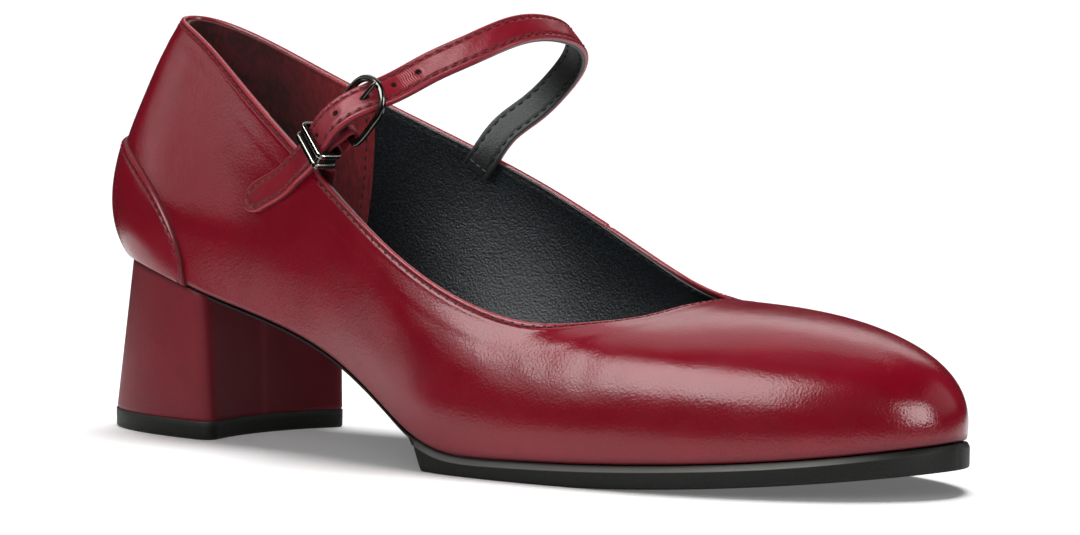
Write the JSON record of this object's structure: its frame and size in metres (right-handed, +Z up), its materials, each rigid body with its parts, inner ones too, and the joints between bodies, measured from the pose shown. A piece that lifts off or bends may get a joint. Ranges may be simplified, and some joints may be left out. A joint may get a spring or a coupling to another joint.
{
  "type": "women's court shoe with instep strap",
  "caption": "Right low-heeled court shoe in dark red leather, with a rounded toe, covered block heel, instep strap and metal buckle.",
  "frame": {"origin": "on the floor under the middle of the heel's top piece", "axes": "+X towards the toe, +Y to the inner (medial) side, -Y to the outer side with the buckle, +Z up"},
  "size_m": [0.2482, 0.0834, 0.1079],
  "materials": {
    "red_leather": "smooth polished calf with a fine grain",
    "heel_leather": "smooth leather stretched over the heel block",
    "black_rubber": "matt moulded rubber",
    "black_lining": "pebbled lining leather, semi-matt",
    "gunmetal": "polished gunmetal plating"
  },
  "bodies": {
    "root": {"upper": "red_leather", "heel_counter": "red_leather", "outsole": "black_rubber", "insole": "black_lining", "heel_block": "heel_leather", "top_piece": "black_rubber", "strap": "red_leather", "buckle_frame": "gunmetal", "buckle_prong": "gunmetal", "chape": "red_leather", "keeper": "gunmetal"}
  },
  "joints": []
}
